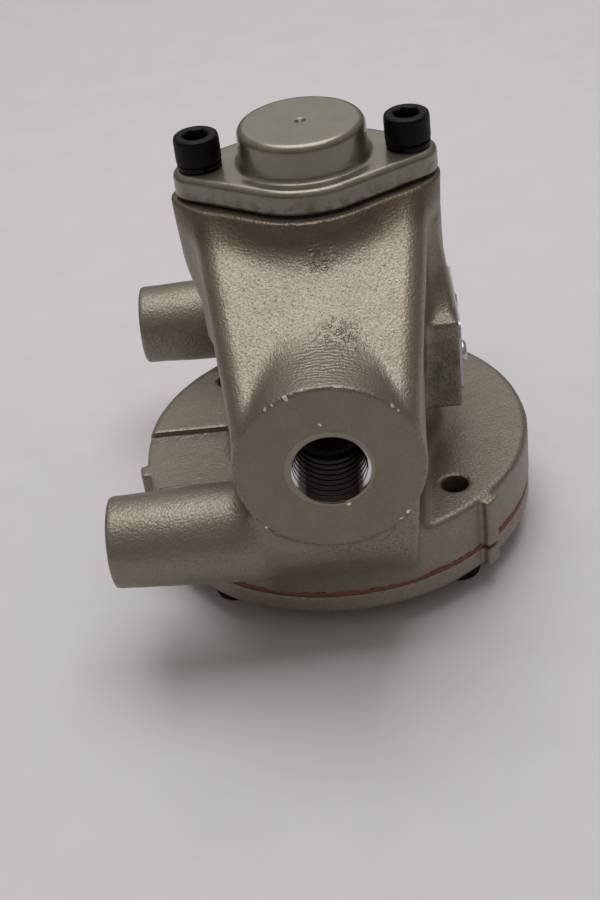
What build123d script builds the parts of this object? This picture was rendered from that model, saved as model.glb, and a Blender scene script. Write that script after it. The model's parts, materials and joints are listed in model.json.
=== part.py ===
"""Diaphragm-operated inline poppet valve, as an assembly of separate pieces.

Units are millimetres. Z runs up the stem axis, Y along the two line ports and -X towards the
mounting bosses. The origin is the mouth of the pilot port, in the plane that the cover screw
heads stand on. Each function returns one piece in its assembled place, with the valve closed.
"""
from build123d import *
from math import cos, radians, sin
import os

# --- heights along the stem axis ---------------------------------------------------------
COVER_BOTTOM = 4.8
COVER_TOP = 9.1
JOINT_TOP = 9.9          # top of the red gasket, underside of the body flange
FLANGE_TOP = 20.2
BOSS_AXIS_Z = 26.0
PORT_AXIS_Z = 43.0
SEAT_SHOULDER = 46.0
BODY_TOP = 72.6
PLATE_BOTTOM = 73.1
PLATE_TOP = 77.5
CAP_TOP = 84.1

# --- body casting ------------------------------------------------------------------------
FLANGE_R = 37.0
FLANGE_EDGE_R = 1.2
TOWER_FOOT_R = 19.3      # round valve chamber at the flange
TOWER_R = 20.7           # round valve chamber at TOWER_NECK
TOWER_NECK = 47.0
TOWER_TOP_R = 15.5       # straight collar, above COLLAR_BOTTOM
COLLAR_BOTTOM = 66.0
LOBE_BOTTOM = 60.5       # below this the screw lobes run out into the round chamber
LOBE_LEDGE = 0.2         # how far the cast lobes stand out past those of the end cap
LOBE_SHIFT = -0.45       # the cast lobes sit this far off the middle
PORT_FACE_Y = 45.0
PORT_BOSS_R = 15.8
PORT_ROOT_R = 18.0       # port boss radius at the stem axis, from its casting draft
WEB_FRONT = 44.2
WEB_FOOT_HALF_WIDTH = 13.1
WEB_TOP_HALF_WIDTH = 15.5
WEB_SPREAD = 4.0         # how much wider each side of the web is at the stem axis
WEB_FOOT_Z = 13.5        # lowest point of the web, on the flange rim
WEB_FOOT_TOP = 24.0      # bottom of the web's upright front
SHOULDER_FACE_Z = 52.3   # top of the web behind the port face, from where it slopes up the tower
SHOULDER_ROOT = (15.5, 67.3)
SIDE_BOSS_Y = 37.0
SIDE_BOSS_R = 8.0
SIDE_BOSS_ROOT_R = 8.9
SIDE_BOSS_FACE_X = -39.3
SIDE_BOSS_ROOT_X = -12.0
PAD_FACE_X = 24.1
PAD_HALF_Y = 12.0
PAD_BOTTOM = 30.5
PAD_TOP = 48.2
COVE_TOP = 64.0
COVE_TOP_X = 22.1        # the face above the pad leans back to here
COVE_TOP_HALF_Y = 4.5
COVE_MIDDLE = (6.7, 52.8)  # the pad's top edges sweep up through this point to the tower
LUG_R = 38.4
LUG_WIDTH = 3.2
LUG_DEPTH = 3.0
LUG_ANGLES = (-44, 190)
RECESS_DEPTH = 1.3       # shallow flat in the flange between the mounting bosses
RECESS_HALF_Y = 9.1
RECESS_Y = -4.8
VENT_R = 0.9
VENT_Z = 14.5
VENT_Y = 15.0

# --- line ports, 1/4-18 NPT; pilot port, 1/8-27 NPT; mounting threads, 5/16-18 ------------
PORT_BORE_R = 5.6
PORT_MOUTH_R = 7.2
PORT_BORE_DEPTH = 19.0
PILOT_BORE_R = 4.25
SIDE_BORE_R = 3.3
SIDE_BORE_DEPTH = 16.0

# --- screws ------------------------------------------------------------------------------
SCREW_HEAD_R = 3.96      # number 10 socket head cap screw
SCREW_HEAD_H = 4.8
SCREW_SHANK_R = 2.3
SCREW_HOLE_R = 2.4       # tapped holes
SCREW_CLEARANCE_R = 2.6  # clearance holes
SOCKET_FLATS = 4.0
SOCKET_DEPTH = 2.5
COVER_SCREW_CIRCLE_R = 30.0
COVER_SCREW_LENGTH = 12.5
CAP_SCREW_X = 18.05
CAP_SCREW_LENGTH = 16.0
CAP_SCREW_HOLE_BOTTOM = 60.0
LOCK_WASHER_H = 1.2

# --- end cap -----------------------------------------------------------------------------
PLATE_CENTRE_R = 14.3
PLATE_END_R = 4.9
PLATE_EDGE_R = 1.0
DOME_R = 11.1
DOME_EDGE_R = 1.3
CENTRE_MARK_R = 0.9      # shallow dimple in the middle of the cap
SPIGOT_R = 12.35
SPRING_POCKET_R = 8.7
SPRING_POCKET_TOP = 81.3

# --- flow passage ------------------------------------------------------------------------
CHAMBER_R = 12.5         # above the seat
LOWER_CHAMBER_R = 11.0   # below the seat
LOWER_CHAMBER_Z = 29.0
SEAT_BORE_R = 8.0
SEAT_TOP = 49.0
SEAT_LIP_H = 0.6
SEAT_LIP_W = 1.5
PASSAGE_END_Y = 7.0      # the slanted passages end this far off the stem axis
PASSAGE_LOW_Z = 37.0
PASSAGE_HIGH_Z = 57.0

# --- diaphragm and stem ------------------------------------------------------------------
DIAPHRAGM_R = 26.0
DIAPHRAGM_T = 0.8
DIAPHRAGM_CHAMBER_R = 22.5
DIAPHRAGM_CHAMBER_TOP = 17.8
COVER_CHAMBER_BOTTOM = 7.6
COVER_EDGE_R = 1.2
PILOT_BOSS_R = 10.5
PILOT_BOSS_ROOT_R = 12.0
PLATE_R = 17.0
LOWER_PLATE_T = 1.0
UPPER_PLATE_T = 1.5
STEM_R = 3.0
STEM_HEAD_R = 5.0
STEM_HEAD_T = 0.8
STEM_THREAD_R = 2.5
STEM_TOP = 60.0
BUSH_R = 5.0
BUSH_TOP = 27.0
BUSH_CLEARANCE = 0.04
GROOVE_BOTTOM = 21.0     # groove of the stem seal
GROOVE_TOP = 22.5
GROOVE_DEPTH = 1.0
STEM_SEAL_R = 0.46
STEM_NUT_FLATS = 10.0
STEM_NUT_H = 2.4
POPPET_NUT_FLATS = 8.0
POPPET_NUT_H = 2.6
STEM_COLLAR_R = 5.0
STEM_COLLAR_T = 1.5
RETAINER_R = 6.8
RETAINER_T = 1.2
POPPET_SEAL_R = 10.8
POPPET_SEAL_T = 1.6
POPPET_R = 11.2
POPPET_T = 3.0
POPPET_HUB_R = 5.9
POPPET_HUB_H = 1.8
SEAL_GAP = 0.05          # between the closed seal and the seat lip

SEAL_BOTTOM = SEAT_TOP + SEAT_LIP_H + SEAL_GAP
POPPET_BOTTOM = SEAL_BOTTOM + POPPET_SEAL_T
POPPET_TOP = POPPET_BOTTOM + POPPET_T
COLLAR_TOP = SEAL_BOTTOM - RETAINER_T
DIAPHRAGM_TOP = JOINT_TOP + DIAPHRAGM_T

# --- return spring -----------------------------------------------------------------------
SPRING_WIRE_R = 0.6
SPRING_COIL_R = 7.4
SPRING_TURNS = 7.5

# --- nameplate ---------------------------------------------------------------------------
NAMEPLATE_T = 0.5
NAMEPLATE_HALF_Y = 11.2
NAMEPLATE_BOTTOM = 33.4
NAMEPLATE_TOP = 47.4
NAMEPLATE_CORNER_R = 1.2
PIN_HEAD_R = 2.0
PIN_HEAD_H = 0.9
PIN_SHANK_R = 0.75
PIN_HOLE_R = 0.8
PIN_LENGTH = 3.5
PIN_Y = 8.8
PIN_Z = (NAMEPLATE_BOTTOM + NAMEPLATE_TOP) / 2

UP = (Align.CENTER, Align.CENTER, Align.MIN)


def disc(radius, bottom, top, x=0.0, y=0.0):
    """Upright cylinder between two heights."""
    return Pos(x, y, bottom) * Cylinder(radius, top - bottom, align=UP)


def ring(outer, inner, bottom, top):
    """Upright tube between two heights."""
    return disc(outer, bottom, top) - disc(inner, bottom - 1, top + 1)


def rod(start, end, start_r, end_r=None):
    """Round bar, or a tapered one, between two points."""
    axis = Vector(*end) - Vector(*start)
    place = Location(Plane(origin=start, z_dir=axis))
    if end_r is None:
        return place * Cylinder(start_r, axis.length, align=UP)
    return place * Cone(start_r, end_r, axis.length, align=UP)


def hexagon(flats, bottom, top):
    """Upright hexagonal bar."""
    outline = RegularPolygon(flats / 2, 6, major_radius=False)
    return Pos(0, 0, bottom) * extrude(outline, top - bottom)


def lobed_outline(centre_r, end_r):
    """Oval outline of the two-bolt end cap: a round middle drawn in to two screw lobes."""
    circles = Circle(centre_r).edges()
    for x in (-CAP_SCREW_X, CAP_SCREW_X):
        circles += (Pos(x, 0) * Circle(end_r)).edges()
    return make_hull(circles)


def lobed_slab(centre_r, end_r, bottom, top):
    """The oval outline drawn up from one height to another."""
    return Pos(0, 0, bottom) * extrude(lobed_outline(centre_r, end_r), top - bottom)


def cover_screw_places():
    """Centres of the four cover screws."""
    angles = [radians(a) for a in (45, 135, 225, 315)]
    return [(COVER_SCREW_CIRCLE_R * cos(a), COVER_SCREW_CIRCLE_R * sin(a)) for a in angles]


def rim_lugs(bottom, top):
    """Two small lugs on the rim, which line the cover up with the body."""
    lug = Pos(LUG_R - LUG_DEPTH / 2, 0, bottom) * Box(LUG_DEPTH, LUG_WIDTH, top - bottom, align=UP)
    return [Rot(0, 0, angle) * lug for angle in LUG_ANGLES]


# --- body casting ------------------------------------------------------------------------
def tower():
    """Round valve chamber that narrows upwards, with a screw lobe on each side of its top."""
    shape = rod((0, 0, FLANGE_TOP - 2), (0, 0, TOWER_NECK), TOWER_FOOT_R, TOWER_R)
    shape += rod((0, 0, TOWER_NECK), (0, 0, COLLAR_BOTTOM), TOWER_R, TOWER_TOP_R)
    shape += disc(TOWER_TOP_R, COLLAR_BOTTOM, BODY_TOP)
    lobe_r = PLATE_END_R + LOBE_LEDGE
    lobes = lobed_slab(TOWER_TOP_R, lobe_r, LOBE_BOTTOM, BODY_TOP)
    full = Pos(0, 0, LOBE_BOTTOM) * lobed_outline(TOWER_TOP_R, lobe_r)
    faded = Pos(0, 0, TOWER_NECK) * lobed_outline(TOWER_TOP_R - 3, TOWER_R - CAP_SCREW_X)
    return shape + Pos(LOBE_SHIFT, 0, 0) * (lobes + loft([faded, full]))


def port_boss(side):
    """Drafted round boss of one line port; side is -1 for the front and +1 for the rear."""
    root = (0, 0, PORT_AXIS_Z)
    face = (0, side * PORT_FACE_Y, PORT_AXIS_Z)
    return rod(root, face, PORT_ROOT_R, PORT_BOSS_R)


def web_section(y, extra):
    """Upright section of the web at one y: wider upwards, from the casting draft."""
    lean = (WEB_TOP_HALF_WIDTH - WEB_FOOT_HALF_WIDTH) / (SHOULDER_FACE_Z - WEB_FOOT_TOP)
    low = WEB_FOOT_HALF_WIDTH + extra - lean * WEB_FOOT_TOP
    high = low + lean * BODY_TOP
    outline = Polyline((-low, 0), (low, 0), (high, BODY_TOP), (-high, BODY_TOP), close=True)
    return Plane((0, y, 0), x_dir=(1, 0, 0), z_dir=(0, -1, 0)) * make_face(outline)


def port_webs():
    """Web around both port bosses: down over the flange rim, and up the tower as a shoulder."""
    front = loft([web_section(-WEB_FRONT, 0), web_section(0, WEB_SPREAD)])
    half = [(FLANGE_R - 0.5, WEB_FOOT_Z), (WEB_FRONT, WEB_FOOT_TOP), (WEB_FRONT, SHOULDER_FACE_Z),
            SHOULDER_ROOT]
    mirrored = [(-y, z) for y, z in reversed(half)]
    side = Plane.YZ * Polyline(*half, *mirrored, close=True)
    return (front + mirror(front, about=Plane.XZ)) & extrude(make_face(side), BODY_TOP, both=True)


def side_boss(side):
    """Drafted mounting boss along -X, beside one line port."""
    root = (SIDE_BOSS_ROOT_X, side * SIDE_BOSS_Y, BOSS_AXIS_Z)
    face = (SIDE_BOSS_FACE_X, side * SIDE_BOSS_Y, BOSS_AXIS_Z)
    return rod(root, face, SIDE_BOSS_ROOT_R, SIDE_BOSS_R)


def nameplate_pad():
    """Flat pad on the right of the tower; its top sweeps up in a cove to the screw lobe."""
    edge = Line((PAD_HALF_Y, PAD_BOTTOM), (PAD_HALF_Y, PAD_TOP))
    cove = ThreePointArc((PAD_HALF_Y, PAD_TOP), COVE_MIDDLE, (COVE_TOP_HALF_Y, COVE_TOP))
    rest = Polyline((COVE_TOP_HALF_Y, COVE_TOP), (0, COVE_TOP), (0, PAD_BOTTOM), (PAD_HALF_Y, PAD_BOTTOM))
    half = make_face([edge, cove, *rest.edges()])
    pad = extrude(Plane.YZ * (half + mirror(half, about=Plane.YZ)), PAD_FACE_X)
    profile = Polyline((0, PAD_BOTTOM), (PAD_FACE_X, PAD_BOTTOM), (PAD_FACE_X, PAD_TOP),
                       (COVE_TOP_X, COVE_TOP), (0, COVE_TOP), close=True)
    return pad & extrude(Plane.XZ * make_face(profile), PAD_HALF_Y, both=True)


def port_bore(side):
    """Tapped mouth of a line port with its chamfer."""
    mouth = (0, side * PORT_FACE_Y, PORT_AXIS_Z)
    bottom = (0, side * (PORT_FACE_Y - PORT_BORE_DEPTH), PORT_AXIS_Z)
    chamfer_end = (0, side * (PORT_FACE_Y - 1.6), PORT_AXIS_Z)
    return rod(mouth, bottom, PORT_BORE_R) + rod(mouth, chamfer_end, PORT_MOUTH_R, PORT_BORE_R)


def flow_passages():
    """Both port bores, and the slanted passages that lead them below and above the seat."""
    turn_y = PORT_FACE_Y - PORT_BORE_DEPTH
    below = rod((0, -turn_y - 1, PORT_AXIS_Z), (0, -PASSAGE_END_Y, PASSAGE_LOW_Z), PORT_BORE_R)
    above = rod((0, turn_y + 1, PORT_AXIS_Z), (0, PASSAGE_END_Y, PASSAGE_HIGH_Z), PORT_BORE_R)
    return [port_bore(-1), port_bore(1), below, above]


def body_bores():
    """Everything cut along the stem axis, from the diaphragm chamber to the top."""
    return [
        disc(DIAPHRAGM_R + 0.1, JOINT_TOP - 1, DIAPHRAGM_TOP + 0.05),
        disc(DIAPHRAGM_CHAMBER_R, JOINT_TOP - 1, DIAPHRAGM_CHAMBER_TOP),
        disc(BUSH_R, DIAPHRAGM_CHAMBER_TOP - 1, BUSH_TOP),
        disc(STEM_R + 0.5, BUSH_TOP - 1, LOWER_CHAMBER_Z + 1),
        disc(LOWER_CHAMBER_R, LOWER_CHAMBER_Z, SEAT_SHOULDER - 3),
        disc(SEAT_BORE_R + 0.6, SEAT_SHOULDER - 4, SEAT_SHOULDER + 1),
        disc(CHAMBER_R, SEAT_SHOULDER, BODY_TOP + 1),
        rod((0, VENT_Y, VENT_Z), (0, FLANGE_R + 1, VENT_Z), VENT_R),
    ]


def screw_holes():
    """Tapped holes for the cover screws and the end cap screws."""
    holes = [disc(SCREW_HOLE_R, JOINT_TOP - 1, FLANGE_TOP + 1, x, y) for x, y in cover_screw_places()]
    for x in (-CAP_SCREW_X, CAP_SCREW_X):
        holes.append(disc(SCREW_HOLE_R, CAP_SCREW_HOLE_BOTTOM, BODY_TOP + 1, x))
    return holes


def side_bore(side):
    """Tapped mounting hole in the end of a side boss."""
    mouth = (SIDE_BOSS_FACE_X, side * SIDE_BOSS_Y, BOSS_AXIS_Z)
    bottom = (SIDE_BOSS_FACE_X + SIDE_BORE_DEPTH, side * SIDE_BOSS_Y, BOSS_AXIS_Z)
    lead = (SIDE_BOSS_FACE_X + 0.9, side * SIDE_BOSS_Y, BOSS_AXIS_Z)
    return rod(mouth, bottom, SIDE_BORE_R) + rod(mouth, lead, SIDE_BORE_R + 0.9, SIDE_BORE_R)


def pin_holes():
    """Holes for the nameplate pins, through the plate and into the pad."""
    start_x = PAD_FACE_X - PIN_LENGTH
    end_x = PAD_FACE_X + NAMEPLATE_T + 1
    return [rod((start_x, y, PIN_Z), (end_x, y, PIN_Z), PIN_HOLE_R) for y in (-PIN_Y, PIN_Y)]


def flange_recess():
    """Shallow flat in the flange between the mounting bosses, up to the tower."""
    floor = FLANGE_TOP - RECESS_DEPTH
    return Pos(-FLANGE_R, RECESS_Y, floor) * Box(FLANGE_R, 2 * RECESS_HALF_Y, 2 * RECESS_DEPTH, align=UP)


def valve_body():
    """Cast body: flange, tower, line ports, mounting bosses and nameplate pad."""
    flange = disc(FLANGE_R, JOINT_TOP, FLANGE_TOP)
    flange = fillet(flange.edges().sort_by(Axis.Z)[-1], FLANGE_EDGE_R)
    for lug in rim_lugs(JOINT_TOP, FLANGE_TOP - 0.6):
        flange += lug
    shape = (flange - flange_recess()) + tower() + port_webs() + nameplate_pad()
    for side in (-1, 1):
        shape += port_boss(side)
        shape += side_boss(side)
    for cut in body_bores() + flow_passages() + screw_holes() + pin_holes():
        shape -= cut
    for side in (-1, 1):
        shape -= side_bore(side)
    return shape


# --- pilot side --------------------------------------------------------------------------
def diaphragm_cover():
    """Shallow dished cover below the diaphragm, with the pilot port in its middle."""
    shape = disc(FLANGE_R, COVER_BOTTOM, COVER_TOP)
    shape = fillet(shape.edges().sort_by(Axis.Z)[0], COVER_EDGE_R)
    shape += Cone(PILOT_BOSS_R, PILOT_BOSS_ROOT_R, COVER_BOTTOM + 0.5, align=UP)
    for lug in rim_lugs(COVER_BOTTOM + 0.5, COVER_TOP):
        shape += lug
    shape -= disc(DIAPHRAGM_CHAMBER_R, COVER_CHAMBER_BOTTOM, COVER_TOP + 1)
    shape -= disc(PILOT_BORE_R, -1, COVER_TOP)
    for x, y in cover_screw_places():
        shape -= disc(SCREW_CLEARANCE_R, COVER_BOTTOM - 1, COVER_TOP + 1, x, y)
    return shape


def diaphragm_gasket():
    """Flat ring gasket between the cover and the body."""
    shape = ring(FLANGE_R, DIAPHRAGM_CHAMBER_R, COVER_TOP, JOINT_TOP)
    for x, y in cover_screw_places():
        shape -= disc(SCREW_CLEARANCE_R, COVER_TOP - 1, JOINT_TOP + 1, x, y)
    return shape


def diaphragm():
    """Flat diaphragm, held at its edge between the gasket and the body."""
    return ring(DIAPHRAGM_R, STEM_R, JOINT_TOP, DIAPHRAGM_TOP)


def lower_diaphragm_plate():
    """Backing plate on the pilot side."""
    plate = ring(PLATE_R, STEM_R, JOINT_TOP - LOWER_PLATE_T, JOINT_TOP)
    return fillet(plate.edges().filter_by(GeomType.CIRCLE).sort_by(Axis.Z)[0], 0.2)


def upper_diaphragm_plate():
    """Backing plate on the vented side, with a rounded outer edge."""
    plate = disc(PLATE_R, DIAPHRAGM_TOP, DIAPHRAGM_TOP + UPPER_PLATE_T)
    plate = fillet(plate.edges().sort_by(Axis.Z)[-1], 0.6)
    return plate - disc(STEM_R, 0, 30)


def stem():
    """Stem from the pilot side of the diaphragm to the nut above the poppet."""
    head_bottom = JOINT_TOP - LOWER_PLATE_T - STEM_HEAD_T
    shape = disc(STEM_HEAD_R, head_bottom, head_bottom + STEM_HEAD_T)
    shape += disc(STEM_R, head_bottom, COLLAR_TOP)
    shape += disc(STEM_COLLAR_R, COLLAR_TOP - STEM_COLLAR_T, COLLAR_TOP)
    shape += disc(STEM_THREAD_R, COLLAR_TOP, STEM_TOP)
    return chamfer(shape.edges().sort_by(Axis.Z)[-1], 0.5)


def nut(hole_r, flats, bottom, height):
    """Plain hexagonal nut."""
    return hexagon(flats, bottom, bottom + height) - disc(hole_r, bottom - 1, bottom + height + 1)


def stem_nut():
    """Nut that clamps the diaphragm between its plates."""
    return nut(STEM_R, STEM_NUT_FLATS, DIAPHRAGM_TOP + UPPER_PLATE_T, STEM_NUT_H)


def poppet_nut():
    """Nut that holds the poppet on the stem."""
    return nut(STEM_THREAD_R, POPPET_NUT_FLATS, POPPET_TOP + POPPET_HUB_H, POPPET_NUT_H)


def stem_bush():
    """Guide bush of the stem, pressed into the body, with a groove for the stem seal."""
    shape = ring(BUSH_R, STEM_R + BUSH_CLEARANCE, DIAPHRAGM_CHAMBER_TOP, BUSH_TOP)
    return shape - disc(STEM_R + GROOVE_DEPTH, GROOVE_BOTTOM, GROOVE_TOP)


def stem_seal():
    """O-ring in the bush groove."""
    return Pos(0, 0, (GROOVE_BOTTOM + GROOVE_TOP) / 2) * Torus(STEM_R + 0.53, STEM_SEAL_R)


# --- seat and poppet ---------------------------------------------------------------------
def seat_insert():
    """Seat ring on the shoulder of the flow chamber, with a raised lip."""
    shape = ring(CHAMBER_R, SEAT_BORE_R, SEAT_SHOULDER, SEAT_TOP)
    shape += ring(SEAT_BORE_R + SEAT_LIP_W, SEAT_BORE_R, SEAT_TOP, SEAT_TOP + SEAT_LIP_H)
    return shape


def poppet_retainer():
    """Washer that grips the inner edge of the poppet seal."""
    return ring(RETAINER_R, STEM_THREAD_R, COLLAR_TOP, SEAL_BOTTOM)


def poppet_seal():
    """Flat rubber disc that closes on the seat lip."""
    return ring(POPPET_SEAL_R, STEM_THREAD_R, SEAL_BOTTOM, POPPET_BOTTOM)


def poppet():
    """Poppet disc above the seal, with a hub that centres the spring."""
    shape = disc(POPPET_R, POPPET_BOTTOM, POPPET_TOP)
    shape += disc(POPPET_HUB_R, POPPET_TOP, POPPET_TOP + POPPET_HUB_H)
    shape = chamfer(shape.edges().sort_by(Axis.Z)[-1], 0.4)
    return shape - disc(STEM_THREAD_R, 0, 80)


def return_spring():
    """Round-wire compression spring between the poppet and the end cap."""
    bottom = POPPET_TOP + SPRING_WIRE_R
    length = SPRING_POCKET_TOP - SPRING_WIRE_R - bottom
    path = Helix(pitch=length / SPRING_TURNS, height=length, radius=SPRING_COIL_R)
    section = Plane(origin=path @ 0, z_dir=path % 0) * Circle(SPRING_WIRE_R)
    return Pos(0, 0, bottom) * sweep(section, path)


# --- end cap -----------------------------------------------------------------------------
def end_cap():
    """Two-bolt cap with a raised round housing for the spring."""
    plate = lobed_slab(PLATE_CENTRE_R, PLATE_END_R, PLATE_BOTTOM, PLATE_TOP)
    plate = fillet(plate.edges().group_by(Axis.Z)[-1], PLATE_EDGE_R)
    shape = plate + disc(DOME_R, PLATE_BOTTOM, CAP_TOP)
    shape = fillet(shape.edges().sort_by(Axis.Z)[-1], DOME_EDGE_R)
    shape += disc(SPIGOT_R, BODY_TOP - 3, PLATE_BOTTOM)
    shape -= disc(SPRING_POCKET_R, BODY_TOP - 4, SPRING_POCKET_TOP)
    shape -= Pos(0, 0, CAP_TOP + 0.3) * Sphere(CENTRE_MARK_R)
    for x in (-CAP_SCREW_X, CAP_SCREW_X):
        shape -= disc(SCREW_CLEARANCE_R, PLATE_BOTTOM - 1, PLATE_TOP + 1, x)
    return shape


def end_cap_gasket():
    """Thin dark gasket under the end cap."""
    shape = lobed_slab(PLATE_CENTRE_R - 0.5, PLATE_END_R - 0.5, BODY_TOP, PLATE_BOTTOM)
    shape -= disc(CHAMBER_R, BODY_TOP - 1, PLATE_BOTTOM + 1)
    for x in (-CAP_SCREW_X, CAP_SCREW_X):
        shape -= disc(SCREW_CLEARANCE_R, BODY_TOP - 1, PLATE_BOTTOM + 1, x)
    return shape


# --- fasteners ---------------------------------------------------------------------------
def socket_screw(shank_length):
    """Socket head cap screw standing on its shank tip, head up, underside of head at zero."""
    head = disc(SCREW_HEAD_R, 0, SCREW_HEAD_H)
    head = fillet(head.edges().sort_by(Axis.Z)[-1], 0.45)
    head -= hexagon(SOCKET_FLATS, SCREW_HEAD_H - SOCKET_DEPTH, SCREW_HEAD_H + 1)
    shank = disc(SCREW_SHANK_R, -shank_length, 0.1)
    return head + chamfer(shank.edges().sort_by(Axis.Z)[0], 0.4)


def end_cap_screws():
    """Two screws that hold the end cap."""
    seat = PLATE_TOP + LOCK_WASHER_H
    screw = Rot(0, 0, 20) * socket_screw(CAP_SCREW_LENGTH)
    return [Pos(x, 0, seat) * screw for x in (-CAP_SCREW_X, CAP_SCREW_X)]


def lock_washers():
    """Split lock washers under the end cap screws."""
    washer = ring(SCREW_HEAD_R - 0.05, 2.45, PLATE_TOP, PLATE_TOP + LOCK_WASHER_H)
    washer -= Pos(3.2, 0, PLATE_TOP) * Rot(25, 0, 0) * Box(3, 0.5, 4)
    return [Pos(x, 0, 0) * Rot(0, 0, -70) * washer for x in (-CAP_SCREW_X, CAP_SCREW_X)]


def cover_screws():
    """Four screws that hold the cover, heads down, which the valve stands on."""
    screw = Pos(0, 0, SCREW_HEAD_H) * Rot(180, 0, 0) * socket_screw(COVER_SCREW_LENGTH)
    return [Pos(x, y, 0) * screw for x, y in cover_screw_places()]


def nameplate():
    """Blank metal plate on the pad."""
    plate = Box(NAMEPLATE_T, 2 * NAMEPLATE_HALF_Y, NAMEPLATE_TOP - NAMEPLATE_BOTTOM)
    plate = fillet(plate.edges().filter_by(Axis.X), NAMEPLATE_CORNER_R)
    plate = Pos(PAD_FACE_X + NAMEPLATE_T / 2, 0, PIN_Z) * plate
    for hole in pin_holes():
        plate -= hole
    return plate


def nameplate_pins():
    """Two round-head drive pins through the nameplate."""
    face_x = PAD_FACE_X + NAMEPLATE_T
    pins = []
    for y in (-PIN_Y, PIN_Y):
        head = rod((face_x, y, PIN_Z), (face_x + PIN_HEAD_H, y, PIN_Z), PIN_HEAD_R)
        head = fillet(head.edges().sort_by(Axis.X)[-1], 0.7)
        pins.append(head + rod((face_x - PIN_LENGTH, y, PIN_Z), (face_x + 0.1, y, PIN_Z), PIN_SHANK_R))
    return pins


PIECES = {
    "valve_body": valve_body,
    "diaphragm_cover": diaphragm_cover,
    "diaphragm_gasket": diaphragm_gasket,
    "diaphragm": diaphragm,
    "lower_diaphragm_plate": lower_diaphragm_plate,
    "upper_diaphragm_plate": upper_diaphragm_plate,
    "stem": stem,
    "stem_nut": stem_nut,
    "stem_bush": stem_bush,
    "stem_seal": stem_seal,
    "seat_insert": seat_insert,
    "poppet_retainer": poppet_retainer,
    "poppet_seal": poppet_seal,
    "poppet": poppet,
    "poppet_nut": poppet_nut,
    "return_spring": return_spring,
    "end_cap": end_cap,
    "end_cap_gasket": end_cap_gasket,
    "end_cap_screws": end_cap_screws,
    "lock_washers": lock_washers,
    "cover_screws": cover_screws,
    "nameplate": nameplate,
    "nameplate_pins": nameplate_pins,
}

os.makedirs("parts", exist_ok=True)
for name, make in PIECES.items():
    made = make()
    if isinstance(made, list):
        made = Compound(children=made)
    export_step(made, f"parts/{name}.step")
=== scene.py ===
import json
from math import cos, pi, radians, sin, tau

import bmesh
import bpy
import numpy as np
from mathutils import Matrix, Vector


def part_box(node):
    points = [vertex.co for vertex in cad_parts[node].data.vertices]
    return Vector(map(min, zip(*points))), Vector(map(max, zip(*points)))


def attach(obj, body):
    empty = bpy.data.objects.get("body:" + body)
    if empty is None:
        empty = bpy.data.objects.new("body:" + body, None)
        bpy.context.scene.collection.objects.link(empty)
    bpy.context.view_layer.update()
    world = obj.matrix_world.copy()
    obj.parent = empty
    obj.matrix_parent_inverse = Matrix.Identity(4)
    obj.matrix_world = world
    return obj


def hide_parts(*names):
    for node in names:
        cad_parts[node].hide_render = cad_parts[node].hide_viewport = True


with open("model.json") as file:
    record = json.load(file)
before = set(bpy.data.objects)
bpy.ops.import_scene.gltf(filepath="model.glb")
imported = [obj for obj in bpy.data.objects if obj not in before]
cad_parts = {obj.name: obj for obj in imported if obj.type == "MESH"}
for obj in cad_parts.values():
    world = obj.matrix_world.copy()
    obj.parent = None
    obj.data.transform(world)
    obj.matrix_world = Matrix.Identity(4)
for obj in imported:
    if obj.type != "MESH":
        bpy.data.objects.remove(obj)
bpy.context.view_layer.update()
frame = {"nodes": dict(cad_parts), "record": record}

import openvdb
from mathutils import Matrix, Vector

# Shapes are worked out in millimetres, in the CAD frame, and made in metres.
MM = 0.001
MOUNTS = {m["name"]: m for m in frame["record"]["mounts"]}


def box_mm(node):
    """Lowest and highest corner of a CAD node, in millimetres."""
    low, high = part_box(node)
    return Vector(low) / MM, Vector(high) / MM


def mount_mm(name):
    """Place of a mount, in millimetres."""
    return Vector(MOUNTS[name]["pos_m"]) / MM


BODY_LOW, BODY_HIGH = box_mm("valve_body")
COVER_LOW, COVER_HIGH = box_mm("diaphragm_cover")
GASKET_LOW, GASKET_HIGH = box_mm("diaphragm_gasket")
CAP_LOW, CAP_HIGH = box_mm("end_cap")
NAMEPLATE_LOW = box_mm("nameplate")[0]
WASHER_LOW, WASHER_HIGH = box_mm("lock_washers")

# --- sizes of the body casting ---------------------------------------------------------------
JOINT_TOP = BODY_LOW.z
BODY_TOP = BODY_HIGH.z
FLANGE_R = GASKET_HIGH.x
FLANGE_TOP = 20.2
FLANGE_EDGE = 1.2
TOWER_FOOT_R = 19.3
TOWER_R = 20.7
TOWER_NECK = 47.0
TOWER_TOP_R = 15.5
COLLAR_BOTTOM = 66.0
LOBE_R = 5.2
LOBE_BOTTOM = 60.5
LOBE_SHIFT = -0.45
LOBE_DRAFT = 0.045
CAP_SCREW_X = 18.05
PORT_FACE_Y = 45.0
PORT_AXIS_Z = mount_mm("front_port").z
PORT_BOSS_R = 15.8
PORT_ROOT_R = 18.0
WEB_FRONT = 44.2
WEB_FOOT_HALF_WIDTH = 13.1
WEB_TOP_HALF_WIDTH = 15.5
WEB_SPREAD = 4.0
SHOULDER_FACE_Z = 52.3
SHOULDER_ROOT = (15.5, 67.3)
WEB_FOOT = (36.5, 13.5)
WEB_FOOT_TOP = 24.0
SIDE_BOSS_Y = MOUNTS["mounting_holes"]["dims"]["spacing_x_mm"] / 2
SIDE_BOSS_Z = mount_mm("mounting_holes").z
SIDE_BOSS_FACE_X = BODY_LOW.x
SIDE_BOSS_R = 8.0
SIDE_BOSS_ROOT_R = 8.9
SIDE_BOSS_ROOT_X = -12.0
PAD_FACE_X = NAMEPLATE_LOW.x
PAD_HALF_Y = 12.0
PAD_BOTTOM = 30.5
PAD_TOP = 48.2
COVE_TOP = 64.0
COVE_TOP_X = 22.1
COVE_DEPTH = 7.5
RECESS_FLOOR = FLANGE_TOP - 1.3
RECESS_HALF_Y = 9.1
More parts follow.
